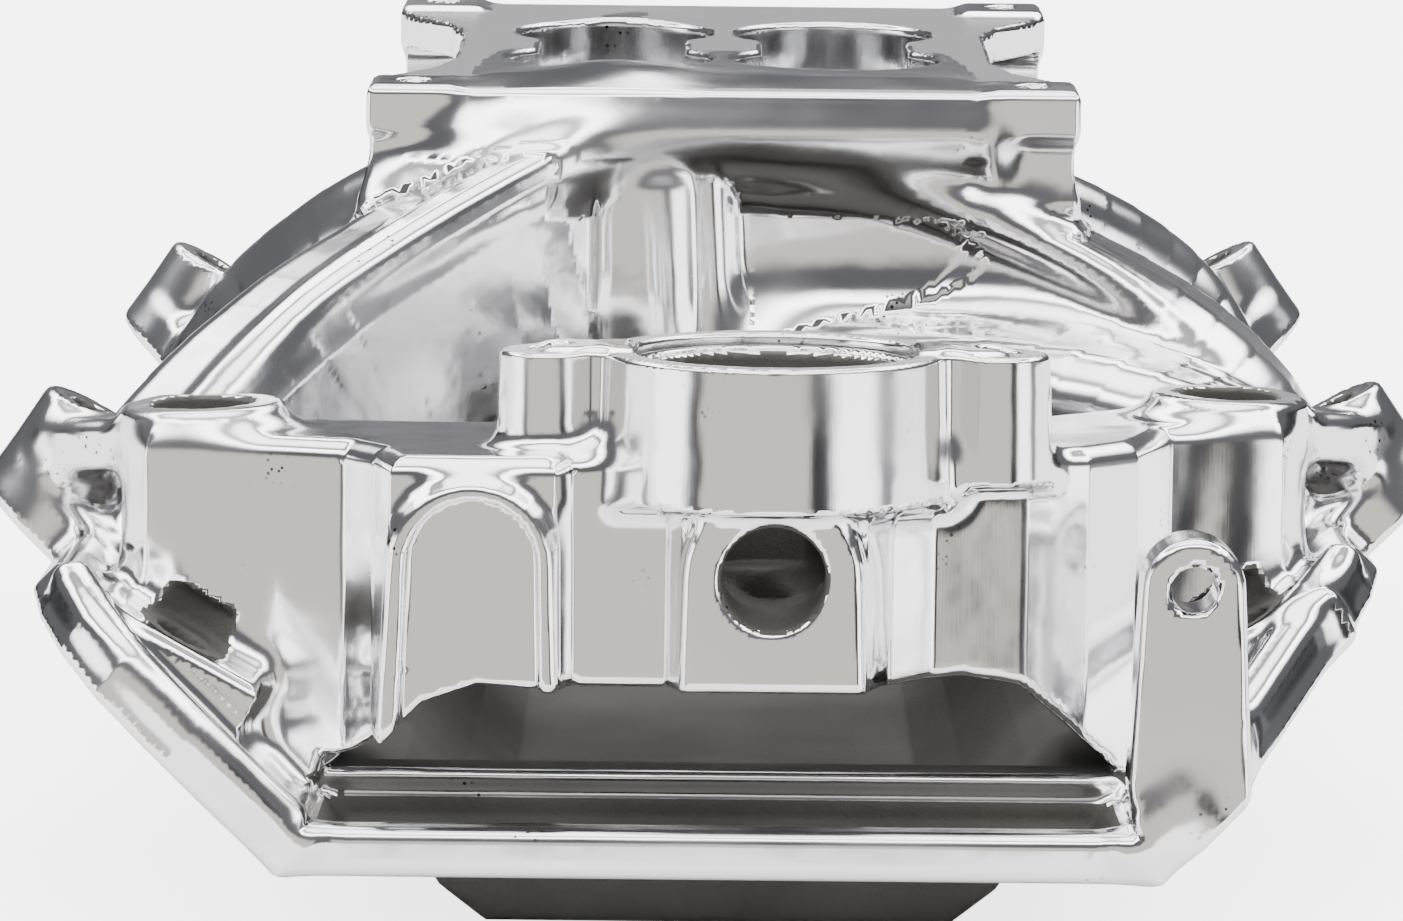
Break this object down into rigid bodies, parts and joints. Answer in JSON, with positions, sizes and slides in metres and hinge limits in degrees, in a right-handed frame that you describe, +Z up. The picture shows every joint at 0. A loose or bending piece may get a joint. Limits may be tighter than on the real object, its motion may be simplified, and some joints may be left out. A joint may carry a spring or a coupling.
{
  "type": "intake manifold",
  "caption": "Polished aluminium V-engine intake manifold: carburettor pad on a split plenum, arched runners to two angled head flanges, front water crossover, open valley tray.",
  "frame": {"origin": "middle of the casting seen from above, at the level of its lowest face, the valley tray's underside", "axes": "+X the engine's right bank as seen from the front, +Y towards the rear of the engine, +Z up"},
  "size_m": [0.2936, 0.494, 0.1613],
  "materials": {
    "polished_aluminium": "polished",
    "as_cast_aluminium": "matte",
    "machined_aluminium": "satin"
  },
  "bodies": {
    "root": {"blank_port_pad": "polished_aluminium", "bracket_lug": "polished_aluminium", "bypass_port_pad": "polished_aluminium", "carburettor_pad": "polished_aluminium", "coolant_port_boss_left": "polished_aluminium", "coolant_port_boss_right": "polished_aluminium", "distributor_boss": "polished_aluminium", "front_end_rail": "polished_aluminium", "head_bolt_seats_left": "machined_aluminium", "head_bolt_seats_right": "machined_aluminium", "head_flange_left": "machined_aluminium", "head_flange_right": "machined_aluminium", "plenum_chamber": "polished_aluminium", "plenum_divider": "as_cast_aluminium", "rear_end_rail": "polished_aluminium", "rear_water_boss_left": "polished_aluminium", "rear_water_boss_right": "polished_aluminium", "runner_left_front_inner": "polished_aluminium", "runner_left_front_outer": "polished_aluminium", "runner_left_rear_inner": "polished_aluminium", "runner_left_rear_outer": "polished_aluminium", "runner_right_front_inner": "polished_aluminium", "runner_right_front_outer": "polished_aluminium", "runner_right_rear_inner": "polished_aluminium", "runner_right_rear_outer": "polished_aluminium", "thermostat_neck": "polished_aluminium", "upper_chamber_floor": "as_cast_aluminium", "vacuum_port_boss": "polished_aluminium", "valley_tray": "as_cast_aluminium", "water_crossover": "polished_aluminium"}
  },
  "joints": []
}
